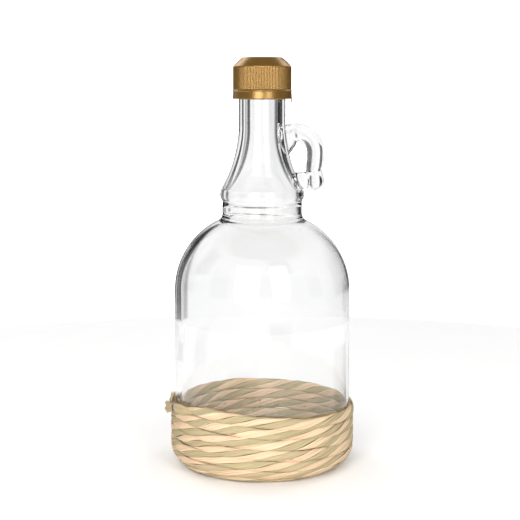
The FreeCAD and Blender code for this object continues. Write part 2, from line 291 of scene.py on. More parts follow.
def make_floor():
    """A round pale table top."""
    mesh = bpy.data.meshes.new("table_top")
    bm = bmesh.new()
    bmesh.ops.create_circle(bm, cap_ends=True, segments=128, radius=TABLE_R)
    bm.to_mesh(mesh)
    bm.free()
    floor = add_object("table_top", mesh)
    material, nodes, shader = new_material("pale_table", 0.7, 0.1)
    grain = nodes.new("TexNoise", Scale=40.0).outputs["Fac"]
    tone = nodes.new("MapRange", Value=grain, To_Min=0.93, To_Max=0.95)
    nodes.put(shader.inputs["Base Color"], tone.outputs[0])
    lay_cards(nodes, shader)
    floor.data.materials.append(material)
    light_floor(floor)


# ---------------------------------------------------------------- meshes

def add_mesh(name, points, faces):
    """A piece from points in millimetres and faces of point numbers."""
    mesh = bpy.data.meshes.new(name)
    mesh.from_pydata((np.asarray(points, float) * MM).tolist(), [], [tuple(map(int, f)) for f in faces])
    mesh.validate()
    mesh.polygons.foreach_set("use_smooth", np.ones(len(mesh.polygons), bool))
    return add_object(name, mesh)


def unit(rows):
    """The rows at a length of one."""
    return rows / np.linalg.norm(rows, axis=1)[:, None]


def grid_faces(rows, columns):
    """Quads of a grid of points, row after row, closed round each row."""
    faces = []
    for i in range(rows - 1):
        for j in range(columns):
            a = i * columns + j
            b = i * columns + (j + 1) % columns
            faces.append((a, b, b + columns, a + columns))
    return faces


def capped_grid(rows, columns):
    """Faces of a closed tube with a flat face at each end."""
    top = (rows - 1) * columns
    return grid_faces(rows, columns) + [tuple(range(columns))[::-1], tuple(range(top, top + columns))]


class Outline:
    """A line of (radius, height) points, with its arcs cut into short chords."""

    def __init__(self, r, z):
        self.points = [(r, z)]

    def line(self, r, z, steps=1):
        r0, z0 = self.points[-1]
        for i in range(1, steps + 1):
            self.points.append((r0 + (r - r0) * i / steps, z0 + (z - z0) * i / steps))

    def turn(self, centre, end, steps=12):
        """An arc about a centre, of less than half a turn."""
        r0, z0 = self.points[-1]
        start = math.atan2(z0 - centre[1], r0 - centre[0])
        stop = math.atan2(end[1] - centre[1], end[0] - centre[0])
        sweep = (stop - start + math.pi) % TAU - math.pi
        first = math.hypot(r0 - centre[0], z0 - centre[1])
        last = math.hypot(end[0] - centre[0], end[1] - centre[1])
        for i in range(1, steps + 1):
            angle = start + sweep * i / steps
            radius = first + (last - first) * i / steps
            self.points.append((centre[0] + radius * math.cos(angle), centre[1] + radius * math.sin(angle)))

    def bulge(self, middle, end, steps=12):
        """An arc through a middle point."""
        (ax, ay), (bx, by), (cx, cy) = self.points[-1], middle, end
        d = 2 * (ax * (by - cy) + bx * (cy - ay) + cx * (ay - by))
        a2, b2, c2 = ax * ax + ay * ay, bx * bx + by * by, cx * cx + cy * cy
        ux = (a2 * (by - cy) + b2 * (cy - ay) + c2 * (ay - by)) / d
        uy = (a2 * (cx - bx) + b2 * (ax - cx) + c2 * (bx - ax)) / d
        self.turn((ux, uy), end, steps)


def lathe(points, segments):
    """Points of an outline turned about Z, one ring per outline point, as an array."""
    outline = np.array(points)
    angle = np.linspace(0, TAU, segments, endpoint=False)
    rings = np.empty((len(outline), segments, 3))
    rings[:, :, 0] = outline[:, :1] * np.cos(angle)
    rings[:, :, 1] = outline[:, :1] * np.sin(angle)
    rings[:, :, 2] = outline[:, 1:]
    return rings


def turned_solid(points, segments, shape=None):
    """Points and faces of a closed turned form, whose outline starts and ends on the axis."""
    rings = lathe(points[1:-1], segments)
    if shape:
        rings = shape(rings)
    body = rings.reshape(-1, 3)
    ends = np.array([(0, 0, points[0][1]), (0, 0, points[-1][1])])
    faces = grid_faces(len(rings), segments)
    first, last = len(body), len(body) + 1
    top = (len(rings) - 1) * segments
    for j in range(segments):
        k = (j + 1) % segments
        faces.append((first, k, j))
        faces.append((last, top + j, top + k))
    return np.vstack([body, ends]), faces


def closed_lathe(name, points, segments=160, shape=None):
    return add_mesh(name, *turned_solid(points, segments, shape))


def joined(parts):
    """The points and faces of several parts as one."""
    points, faces, start = [], [], 0
    for body, quads in parts:
        points.append(body)
        faces += [tuple(i + start for i in quad) for quad in quads]
        start += len(body)
    return np.vstack(points), faces


# ---------------------------------------------------------------- glass

BODY_R = 51.9
HEEL_R = 11.0
BASE_Z = 2.75
PUNT_R, PUNT_Z = 34.0, 7.2
WALL = 2.6
WALL_DRIFT = 1.3                # how far the hollow lies towards +X
INNER_FLOOR_Z, INNER_PUNT_Z = 6.2, 10.8
INNER_HEEL_R = 8.5
SHOULDER = (5.9, 104.6)         # centre of the shoulder's arc
SHOULDER_R = 46.0
COLLAR_R, COLLAR_TOP_Z = 23.5, 155.0
INNER_COLLAR_R = 21.0
INNER_BEAD = (21.5, 163.0)      # where the flare of the bore starts
NECK_R = 13.7
FLARE = (90.7, 203.0)           # centre of the flare's arc
BORE_R, BORE_FOOT_Z = 9.25, 200.0
BAND_RING_Z = 217.6             # foot of the ring that holds the tamper band
FINISH_R, FINISH_Z = 14.2, 221.6
LIP_Z = 235.4
THREAD_PITCH = 3.175
THREAD_START_Z = 224.9
THREAD_TURNS = 2.0
THREAD_HEIGHT = 1.1
THREAD_HALF_ROOT = 0.78         # half its width at the root
THREAD_FLANK = 0.34             # width of each sloping side
THREAD_FADE = 0.35              # radians over which an end fades out
GLASS_SEGMENTS = 256
ROD_SIDES = 40
# the rod's half height, half width and shift along Y, each as (x, value)
HOOK_HEIGHTS = ((8, 10.8), (12, 9.0), (15, 7.5), (17, 6.2), (19.5, 5.1), (31, 5.2))
HOOK_WIDTHS = ((8, 3.0), (14, 3.1), (17, 4.0), (20, 5.0), (31, 5.2))
ROOT_DRIFT = ((8, 2.6), (14, 2.4), (21, 0.0))
HOOK_BEND = (19.4, 185.9)       # x and z of the bend's centre
HOOK_BEND_R = 12.0
HOOK_WAIST = (175.2, 2.2, 0.5)  # height, reach and depth of the pinch above the knob
STUB_R = 5.1
KNOBS = (((31.2, 0, 168.9), 5.3), ((24.6, 0, 169.3), 5.1))  # centre and radius


def fillet_between(wall_r, arc_r, fillet_r):
    """Centre of a fillet between a vertical wall and the shoulder, and its point on the shoulder."""
    centre_r = wall_r + fillet_r
    reach = arc_r + fillet_r
    rise = math.sqrt(reach ** 2 - (centre_r - SHOULDER[0]) ** 2)
    share = arc_r / reach
    touch = (SHOULDER[0] + (centre_r - SHOULDER[0]) * share, SHOULDER[1] + rise * share)
    return (centre_r, SHOULDER[1] + rise), touch


def glass_outside():
    """From the middle of the punt round the wall and up to the lip."""
    wall = Outline(0, PUNT_Z)
    wall.bulge((19.0, 5.9), (PUNT_R, BASE_Z), 10)
    wall.line(BODY_R - HEEL_R, BASE_Z, 3)
    wall.turn((BODY_R - HEEL_R, BASE_Z + HEEL_R), (BODY_R, BASE_Z + HEEL_R), 14)
    wall.line(BODY_R, SHOULDER[1], 24)
    fillet, touch = fillet_between(COLLAR_R, SHOULDER_R, 4.5)
    wall.turn(SHOULDER, touch, 40)
    wall.turn(fillet, (COLLAR_R, fillet[1]), 10)
    wall.line(COLLAR_R, COLLAR_TOP_Z, 4)
    wall.bulge((23.4, 156.6), (23.7, 158.0), 8)
    wall.bulge((24.85, 161.2), (24.0, 164.6), 14)
    wall.turn(FLARE, (NECK_R, FLARE[1]), 40)
    wall.line(NECK_R, BAND_RING_Z, 8)
    wall.turn((NECK_R + 0.9, BAND_RING_Z), (NECK_R + 0.5, 218.4), 4)
    wall.line(15.3, 219.3, 3)
    wall.turn((15.1, 219.8), (15.6, 219.8), 4)
    wall.line(15.6, 220.1)
    wall.turn((15.1, 220.2), (15.3, 220.7), 4)
    wall.line(FINISH_R, FINISH_Z, 3)
    wall.line(FINISH_R, LIP_Z - 0.8, 60)
    wall.turn((FINISH_R - 0.8, LIP_Z - 0.8), (FINISH_R - 0.8, LIP_Z), 6)
    wall.line((FINISH_R + BORE_R) / 2, LIP_Z, 2)
    return wall.points


def glass_inside():
    """From the lip down the bore to the middle of the floor."""
    inner_r = BODY_R - WALL
    hollow = Outline((FINISH_R + BORE_R) / 2, LIP_Z)
    hollow.line(BORE_R + 0.6, LIP_Z, 2)
    hollow.turn((BORE_R + 0.6, LIP_Z - 0.6), (BORE_R, LIP_Z - 0.6), 5)
    hollow.line(BORE_R, BORE_FOOT_Z, 12)
    rise, spread = BORE_FOOT_Z - INNER_BEAD[1], INNER_BEAD[0] - BORE_R
    flare_r = (rise ** 2 + spread ** 2) / (2 * spread)
    hollow.turn((BORE_R + flare_r, BORE_FOOT_Z), INNER_BEAD, 40)
    hollow.bulge((21.75, 160.0), (INNER_COLLAR_R, 156.0), 8)
    fillet, touch = fillet_between(INNER_COLLAR_R, SHOULDER_R - WALL, 3.0)
    hollow.line(INNER_COLLAR_R, fillet[1], 4)
    hollow.turn(fillet, touch, 8)
    hollow.turn(SHOULDER, (inner_r, SHOULDER[1]), 40)
    heel = (inner_r - INNER_HEEL_R, INNER_FLOOR_Z + INNER_HEEL_R)
    hollow.line(inner_r, heel[1], 30)
    hollow.turn(heel, (heel[0], INNER_FLOOR_Z), 14)
    hollow.line(PUNT_R, INNER_FLOOR_Z, 3)
    hollow.bulge((19.0, 9.4), (0, INNER_PUNT_Z), 10)
    return hollow.points


def screw_thread(rings):
    """Raises the right-hand thread on the finish, with ends that fade out."""
    angle = np.arctan2(rings[:, :, 1], rings[:, :, 0]) % TAU
    z = rings[:, :, 2]
    lift = np.zeros_like(z)
    for lap in range(int(THREAD_TURNS)):
        turned = angle + TAU * lap
        away = np.abs(z - THREAD_START_Z - THREAD_PITCH * turned / TAU)
        ends = np.minimum(turned, TAU * THREAD_TURNS - turned) / THREAD_FADE
        lift = np.maximum(lift, np.clip((THREAD_HALF_ROOT - away) / THREAD_FLANK, 0, 1) * np.clip(ends, 0, 1))
    on_finish = (z > FINISH_Z + 0.4) & (z < LIP_Z - 1.0)
    grow = 1 + THREAD_HEIGHT * lift * on_finish / FINISH_R
    rings[:, :, 0] *= grow
    rings[:, :, 1] *= grow
    return rings


def rod(path, radii, girths, drift=0.0):
    """A closed rod along a path in the XZ plane, with its half height, half width and shift along Y."""
    path = np.asarray(path, float)
    along = unit(np.gradient(path, axis=0))
    across = np.stack([-along[:, 1], along[:, 0]], axis=1)
    angle = np.linspace(0, TAU, ROD_SIDES, endpoint=False)
    rings = np.empty((len(path), ROD_SIDES, 3))
    for i, (point, side, radius, girth) in enumerate(zip(path, across, radii, girths)):
        rings[i, :, 0] = point[0] + side[0] * radius * np.cos(angle)
        rings[i, :, 1] = girth * np.sin(angle)
        rings[i, :, 2] = point[1] + side[1] * radius * np.cos(angle)
    rings[:, :, 1] += np.reshape(drift, (-1, 1))
    return rings.reshape(-1, 3), capped_grid(len(path), ROD_SIDES)


def handle_rods():
    """The rod that leaves the neck and hooks down to its knob, and the short stub under it."""
    hook = Outline(8.0, 190.5)
    hook.line(12.0, 193.2, 6)
    hook.line(15.0, 195.3, 5)
    hook.line(17.0, 196.8, 4)
    hook.line(HOOK_BEND[0], HOOK_BEND[1] + HOOK_BEND_R, 4)
    hook.turn(HOOK_BEND, (HOOK_BEND[0] + HOOK_BEND_R, HOOK_BEND[1]), 20)
    hook.bulge((31.1, 180.5), (30.4, 176.0), 8)
    hook.line(31.2, 169.2, 5)
    x, z = np.array(hook.points).T
    heights, widths, drift = (np.interp(x, *zip(*rows)) for rows in (HOOK_HEIGHTS, HOOK_WIDTHS, ROOT_DRIFT))
    waist_z, reach, depth = HOOK_WAIST
    heights = heights - depth * np.exp(-((z - waist_z) / reach) ** 2) * (x > 28)
    stub = Outline(8.0, 168.6)
    stub.line(24.6, 169.3, 10)
    thick = np.full(len(stub.points), STUB_R)
    return [rod(hook.points, heights, np.minimum(heights, widths), drift), rod(stub.points, thick, thick)]


def ball(centre, radius):
    outline = Outline(0, -radius)
    outline.turn((0, 0), (radius, 0), 12)
    outline.turn((0, 0), (0, radius), 12)
    points, faces = turned_solid(outline.points, ROD_SIDES)
    return points + np.array(centre), faces


def apply_modifiers(piece):
    """Leaves the piece with the mesh that its modifiers make."""
    graph = bpy.context.evaluated_depsgraph_get()
    mesh = bpy.data.meshes.new_from_object(piece.evaluated_get(graph))
    piece.modifiers.clear()
    piece.data = mesh


def make_handle():
    """The rods and the knobs melted together: their joins are softly rounded."""
    handle = add_mesh("handle_form", *joined(handle_rods() + [ball(*knob) for knob in KNOBS]))
    melt = handle.modifiers.new("melt", "REMESH")
    melt.mode = "VOXEL"
    melt.voxel_size = 0.38 * MM
    settle = handle.modifiers.new("settle", "SMOOTH")
    settle.factor = 0.5
    settle.iterations = 28
    apply_modifiers(handle)
    return handle


def uneven_wall(first_inside):
    """Moves the hollow a little to one side, as in blown glass: the wall is thicker at -X."""
    def shape(rings):
        rings = screw_thread(rings)
        z = rings[first_inside:, :1, 2]
        share = np.clip((z - 6) / 70, 0, 1) * np.clip((160 - z) / 30, 0, 1)
        rings[first_inside:, :, 0] += WALL_DRIFT * share
        return rings
    return shape


def make_glass(material):
    """The jug and its handle as one piece of glass."""
    outside, inside = glass_outside(), glass_inside()
    jug = closed_lathe("jug_glass", outside + inside[1:], GLASS_SEGMENTS, uneven_wall(len(outside) - 1))
    handle = make_handle()
    trim_handle_to_wall(handle)
    union = jug.modifiers.new("fuse", "BOOLEAN")
    union.operation = "UNION"
    union.solver = "EXACT"
    union.object = handle
    apply_modifiers(jug)
    bpy.data.objects.remove(handle)
    jug.data.polygons.foreach_set("use_smooth", np.ones(len(jug.data.polygons), bool))
    jug.data.materials.clear()
    jug.data.materials.append(material)
    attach(jug, "jug")
    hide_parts("glass_bottle", "glass_handle")
    return jug


def trim_handle_to_wall(handle):
    """Keeps the handle's roots inside the thickness of the neck's wall."""
    bead_r, bead_z = INNER_BEAD
    flare = [(r + WALL / 2, z) for r, z in reversed(glass_inside()) if bead_z < z < 205.0]
    outline = [(0, 150.0), (bead_r + 1.4, 150.0), (bead_r + 1.4, bead_z)] + flare + [(0, 206.0)]
    cutter = closed_lathe("bore_form", outline, 96)
    cut = handle.modifiers.new("trim", "BOOLEAN")
    cut.operation = "DIFFERENCE"
    cut.solver = "EXACT"
    cut.object = cutter
    apply_modifiers(handle)
    bpy.data.objects.remove(cutter)


def glass_material():
    """Clear glass with the faint waves of a blown wall."""
    material, nodes, shader = new_material("clear_glass", 0.0)
    socket(shader, "Base Color", (0.995, 0.998, 0.997, 1))
    socket(shader, "IOR", 1.5)
    socket(shader, "Transmission Weight", 1.0)
    waves = nodes.noise(nodes.place(), 28.0, 1.0)
    nodes.put(shader.inputs["Normal"], nodes.bump(waves, 0.02, 0.002))
    return material


# ---------------------------------------------------------------- rope basket

ROPE_WIDTH = 6.3
ROPE_THICKNESS = 2.6
ROPE_PITCH = 6.3
ROPE_LAPS = 13
ROPE_GAP = 0.15                 # between the rope and the glass
ROPE_TOP_Z = 42.1
ROPE_FIRST_R = 1.7              # where the rope starts, near the jug's axis
ROPE_END_AZIMUTH = -150.0       # degrees
ROPE_TILT = 3.2                 # how much the top lap rises towards ROPE_TILT_AZIMUTH
ROPE_TILT_AZIMUTH = 165.0
STRANDS = 4                     # two pale ones between two green ones
TWIST = 56.0                    # length of rope for a full turn of its strands
STRAND_STEP = 0.8
STRAND_SIDES = 24
STRAND_HEART = 0.6              # distance of a strand's middle from the rope's, as a share of its radius
CORNER = 9.0                    # the higher, the sharper a strand's corners
FOLDS, CREASES = 5, 13          # of the leaf, round a strand
ROPE_SPREAD = 1.05              # width of the twisted rope over its plain width
ROPE_FULL = 0.32                # how far its oval section is filled out towards a rectangle
TIP_SIZE, TIP_TAPER = 0.3, 30.0     # girth at the rope's end, as a share, and the mm that add a full one

HEEL_START = BODY_R - HEEL_R
BEND_R = HEEL_R + ROPE_GAP + ROPE_THICKNESS / 2
ROPE_END = HEEL_START + BEND_R * math.pi / 2 + ROPE_TOP_Z - ROPE_WIDTH / 2 - BASE_Z - HEEL_R


def wander(s, length):
    """A smooth random wave of height 1 or so, whose swings are about this long."""
    wave = np.zeros_like(s)
    for share in (0.6, 1.0, 1.7):
        wave += np.sin(TAU * s / (length * share * rng.uniform(0.85, 1.15)) + rng.uniform(0, TAU))
    return wave / 2


def wall_frame(along):
    """Radius, height and outward direction of the rope's middle, this far up the wall from the axis."""
    angle = np.clip((along - HEEL_START) / BEND_R, 0, math.pi / 2)
    up = np.maximum(along - HEEL_START - BEND_R * math.pi / 2, 0)
    r = np.minimum(along, HEEL_START) + BEND_R * np.sin(angle)
    z = BASE_Z + HEEL_R - BEND_R * np.cos(angle) + up
    return r, z, np.sin(angle), -np.cos(angle)


def rope_route():
    """Points along the whole rope with its outward and upward directions, and the length so far."""
    lap = np.linspace(0.04, ROPE_LAPS, 60000)
    azimuth = np.radians(ROPE_END_AZIMUTH - 360 * lap)
    level = ROPE_END - ROPE_PITCH * (ROPE_LAPS - lap)
    level = np.maximum(level, ROPE_FIRST_R)
    level = level + ROPE_TILT * np.cos(azimuth - math.radians(ROPE_TILT_AZIMUTH)) * level / ROPE_END
    r = wall_frame(level)[0]
    length = np.concatenate([[0], np.cumsum(np.hypot(r[1:] * np.diff(azimuth), np.diff(level)))])
    stations = np.arange(0, length[-1], STRAND_STEP)
    take = lambda values: np.interp(stations, length, values)
    return stations, take(azimuth), take(level), take(lap)


def strand_section(turn):
    """A strand's share of the rope's round section: a sector of it with rounded corners."""
    heart, half = STRAND_HEART, math.pi / STRANDS
    arc = -heart * np.cos(turn) + np.sqrt(1 - (heart * np.sin(turn)) ** 2)
    reach = arc ** -CORNER
    for side in (-1, 1):
        towards = side * np.sin(turn) * math.cos(half) - np.cos(turn) * math.sin(half)
        reach += (heart * math.sin(half) / np.maximum(towards, 1e-3)) ** -CORNER
    reach = reach ** (-1 / CORNER)
    return heart + reach * np.cos(turn), reach * np.sin(turn)


def make_strand(name, phase, route, waves, material):
    """One strand along the rope's route, twisted about the rope's middle."""
    s, azimuth, level, _ = route
    turn = math.pi + np.linspace(0, TAU, STRAND_SIDES, endpoint=False)
    p, q = strand_section(turn)
    p, q = (np.tile(row, (len(s), 1)) for row in (p, q))
    twist = TAU * (s / TWIST) + waves["twist"] + phase

    # folds of the leaves, which run along the strand and turn slowly within it
    around = turn[None, :]
    fold = 0.5 + 0.5 * np.sin(FOLDS * around + 0.09 * s[:, None] + phase + 1.3 * wander(s, 46)[:, None])
    crease = 0.5 + 0.5 * np.sin(CREASES * around - 0.05 * s[:, None] + 2.1 * wander(s, 31)[:, None])
    scale = 1 - 0.075 * (1 - fold ** 0.6) - 0.03 * crease
    p, q = STRAND_HEART + (p - STRAND_HEART) * scale, q * scale
    p = p * (1 + 0.05 * wander(s, 38)[:, None])
    q = q * (1.02 + 0.13 * wander(s, 45)[:, None])

    cos, sin = np.cos(twist)[:, None], np.sin(twist)[:, None]
    across, out = p * cos - q * sin, p * sin + q * cos
    rim = np.abs(across)
    out = out * (1 + ROPE_FULL * (1 - np.clip(out, -1, 1) ** 2))
    tip = np.minimum(1, TIP_SIZE + (s[-1] - s) / TIP_TAPER)
    half_width = ROPE_SPREAD * ROPE_WIDTH / 2 * waves["width"] * tip
    half_depth = ROPE_THICKNESS / 2 * tip
    across = across * half_width[:, None]
    lift = waves["lift"][:, None] * np.clip(1 + out, 0, 1)
    out = out * half_depth[:, None] * np.where(out > 0, 1 + lift, 1)

    r, z, out_r, out_z = wall_frame(level + waves["level"] - (1 - tip) * ROPE_WIDTH * 0.4)
    r, z, out_r, out_z = (v[:, None] for v in (r, z, out_r, out_z))
    radius = r + out * out_r - across * out_z
    height = np.maximum(z + out * out_z + across * out_r, 0.0)
    points = np.empty((len(s), STRAND_SIDES, 3))
    points[:, :, 0] = radius * np.cos(azimuth)[:, None]
    points[:, :, 1] = radius * np.sin(azimuth)[:, None]
    points[:, :, 2] = height
    strand = grid_piece(name, points, s / TWIST)
    # painted shade between the strands, in the folds, and where the laps meet
    crevice_shade = np.clip(1 - np.hypot(p, q), 0, 1) * 2.2 + 0.25 * (1 - fold)
    crevice_shade = crevice_shade + waves["crevice_shade"][:, None] * np.clip((rim - 0.8) / 0.2, 0, 1)
    paint(strand, "crease", np.clip(crevice_shade, 0, 1))
    strand.data.materials.append(material)
    return strand


def grid_piece(name, points, along):
    """A closed tube from rows of points, capped at both ends, with a UV map round and along it."""
    rows, columns = points.shape[:2]
    i, j = np.meshgrid(np.arange(rows - 1), np.arange(columns), indexing="ij")
    k = (j + 1) % columns
    below, above = i * columns, (i + 1) * columns
    quads = np.stack([below + j, below + k, above + k, above + j], axis=-1).reshape(-1, 4)
    caps = [np.arange(columns)[::-1], (rows - 1) * columns + np.arange(columns)]
    loops = np.concatenate([quads.ravel()] + caps)
    sizes = np.concatenate([np.full(len(quads), 4), [columns, columns]])
    mesh = bpy.data.meshes.new(name)
    mesh.vertices.add(rows * columns)
    mesh.vertices.foreach_set("co", (points * MM).ravel())
    mesh.loops.add(len(loops))
    mesh.loops.foreach_set("vertex_index", loops)
    mesh.polygons.add(len(sizes))
    mesh.polygons.foreach_set("loop_start", np.concatenate([[0], np.cumsum(sizes)[:-1]]))
    mesh.polygons.foreach_set("use_smooth", np.ones(len(sizes), bool))
    uv = mesh.uv_layers.new(name="along_and_round")
    u = np.stack([j, j + 1, j + 1, j], axis=-1) / columns
    v = np.stack([along[i], along[i], along[i + 1], along[i + 1]], axis=-1)
    flat = np.stack([u, v], axis=-1).reshape(-1, 2)
    flat = np.vstack([flat, np.zeros((2 * columns, 2))])
    uv.data.foreach_set("uv", flat.ravel())
    mesh.update(calc_edges=True)
    mesh.validate()
    return add_object(name, mesh)


def paint(piece, name, values):
    layer = piece.data.attributes.new(name, "FLOAT", "POINT")
    layer.data.foreach_set("value", np.asarray(values, float).ravel())


def make_rope(pale, green):
    route = rope_route()
    s, lap = route[0], route[3]
    on_wall = np.clip((lap - 5.5) / 1.5, 0, 1)
    waves = {
        "twist": 0.55 * wander(s, 130),
        "width": 1.03 + 0.05 * wander(s, 55),
        "lift": np.maximum(0, 0.12 + 0.14 * wander(s, 60)) * on_wall,
        "level": (0.38 * wander(s, 70) + 0.14 * wander(s, 24)) * on_wall,
        # how strongly painted shade darkens the edges where the laps meet, wandering along the rope
        "crevice_shade": np.clip(0.3 + 0.55 * wander(s, 33), 0.05, 0.9),
    }
    laps = [f"rope_lap_{n:02d}" for n in range(1, ROPE_LAPS + 1)]
    for n in range(STRANDS):
        strand = make_strand(f"rope_strand_{n + 1}", TAU * n / STRANDS, route, waves, (pale, green)[n % 2])
        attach(strand, "jug")
        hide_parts(*laps)


FLECK = (0.30, 0.13, 0.07, 1)   # brown specks on the leaf
BLACK = (0, 0, 0, 1)


def palm_material(name, colours, shade):
    """Dry palm leaf: long fibres, streaks between the given colours, and painted shade in its creases."""
    material, nodes, shader = new_material(name, 0.72, 0.25)
    uv = nodes.new("UVMap").outputs[0]
    colours = [colour + (1,) for colour in colours]
    shade += (1,)

    def stretched(across, along, detail):
        return nodes.noise(nodes.new("Mapping", Vector=uv, Scale=(across, along, 1)).outputs[0], 1.0, detail)

    streak = stretched(7.0, 0.8, 3.0)
    fibre = stretched(60.0, 2.2, 4.0)
    patch = stretched(1.6, 0.55, 2.0)
    base = nodes.mix(nodes.ramp(streak, 0.36, 0.64), colours[0], colours[1])
    base = nodes.mix(nodes.ramp(patch, 0.5, 0.75), base, colours[2])
    where = nodes.ramp(stretched(1.1, 0.35, 1.0), 0.58, 0.66)
    flecks = nodes.mix(where, BLACK, nodes.ramp(stretched(9.0, 9.0, 0.0), 0.70, 0.76))
    base = nodes.mix(flecks, base, FLECK)
    lines = nodes.ramp(fibre, 0.38, 0.52)
    base = nodes.mix(lines, nodes.mix(0.5, base, shade), base)
    # painted shade: the strands' crease attribute darkens the leaf towards its shade colour
    crease = nodes.new("Attribute")
    crease.attribute_name = "crease"
    base = nodes.mix(nodes.ramp(crease.outputs["Fac"], 0.3, 0.95), base, shade)
    nodes.put(shader.inputs["Base Color"], base)
    nodes.put(shader.inputs["Normal"], nodes.bump(fibre, 0.55, 0.0004))
    return material


# ---------------------------------------------------------------- cap and tamper band

CAP_R = 17.05
CAP_SKIRT_Z = 222.08
CAP_TOP_Z = 240.9
RIBS = 112
RIB_DEPTH = 0.26
RIB_TOP_Z = 236.4
RIB_FADE = 0.5                  # height over which a rib dies into the chamfer
CAP_BORE_R = 15.7
CAP_THREAD_CREST_R = 14.7
CAP_THREAD_Z = 223.6
CAP_LAPS = 3
LINER_RECESS_R, LINER_RECESS_Z = 14.35, (234.6, 236.9)
CROWN_HOLLOW_R, CROWN_HOLLOW_Z = 11.0, 239.5
LINER_R, LINER_TOP_Z = 14.3, 236.85
BAND_R = 17.35
BAND_BORE_R = 16.2
BAND_BOTTOM_Z, BAND_TOP_Z = 216.9, 222.03
BAND_HOOK_R = 14.4
BAND_NOTCH = -110.0             # azimuth of the step in the band, in degrees
NOTCH_SPAN, NOTCH_DEPTH = 75.0, 0.3     # degrees, mm
BAND_SEGMENTS = 720
BRIDGES = 12                    # stubs of the bridges between the band and the cap
TAB_AZIMUTH, TAB_WIDTH = 0.0, 4.0


def rib_skirt(rings):
    """Cuts the grip ribs into the outside of the skirt, with rounded tops that die into the chamfer."""
    z = rings[:, :, 2]
    r = np.hypot(rings[:, :, 0], rings[:, :, 1])
    angle = np.arctan2(rings[:, :, 1], rings[:, :, 0])
    rib = np.abs(np.cos(RIBS * angle / 2)) ** 0.7
    crown = RIB_TOP_Z - 0.9 * (1 - rib)
    fade = np.clip((crown - z) / RIB_FADE, 0, 1)
    depth = RIB_DEPTH * (1 - rib) * fade * (r > CAP_BORE_R + 0.3)
    cut = 1 - depth / np.maximum(r, 1e-6)
    rings[:, :, 0] *= cut
    rings[:, :, 1] *= cut
    return rings


def make_cap(material):
    """The cap: its crown, chamfer and skirt, then the thread, the seal's recess and the hollow inside."""
    outline = Outline(0, CAP_TOP_Z)
    outline.line(11.2, CAP_TOP_Z, 3)
    outline.bulge((11.9, CAP_TOP_Z - 0.17), (12.35, CAP_TOP_Z - 0.62), 6)
    outline.bulge((14.75, CAP_TOP_Z - 2.72), (16.55, CAP_TOP_Z - 4.75), 10)
    outline.bulge((16.9, CAP_TOP_Z - 5.2), (CAP_R, CAP_TOP_Z - 5.7), 5)
    outline.line(CAP_R, CAP_SKIRT_Z + 0.2, 44)
    outline.line(CAP_R - 0.2, CAP_SKIRT_Z)
    outline.line(CAP_BORE_R + 0.2, CAP_SKIRT_Z, 2)
    outline.line(CAP_BORE_R, CAP_SKIRT_Z + 0.2)
    for lap in range(CAP_LAPS):
        low = CAP_THREAD_Z + THREAD_PITCH * lap
        outline.line(CAP_BORE_R, low, 2)
        outline.line(CAP_THREAD_CREST_R, low + 0.6, 2)
        outline.line(CAP_THREAD_CREST_R, low + 1.0)
        outline.line(CAP_BORE_R, low + 1.6, 2)
    outline.line(CAP_BORE_R, LINER_RECESS_Z[0] - 0.2, 3)
    outline.line(LINER_RECESS_R, LINER_RECESS_Z[0])
    outline.line(LINER_RECESS_R, LINER_RECESS_Z[1], 2)
    outline.line(CROWN_HOLLOW_R, LINER_RECESS_Z[1] + 0.1, 2)
    outline.line(CROWN_HOLLOW_R, CROWN_HOLLOW_Z - 0.2, 2)
    outline.line(CROWN_HOLLOW_R - 0.2, CROWN_HOLLOW_Z)
    outline.line(0, CROWN_HOLLOW_Z, 3)
    cap = closed_lathe("screw_cap", outline.points, RIBS * 8, rib_skirt)
    cap.data.materials.append(material)
    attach(cap, "cap")
    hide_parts("cap_shell")


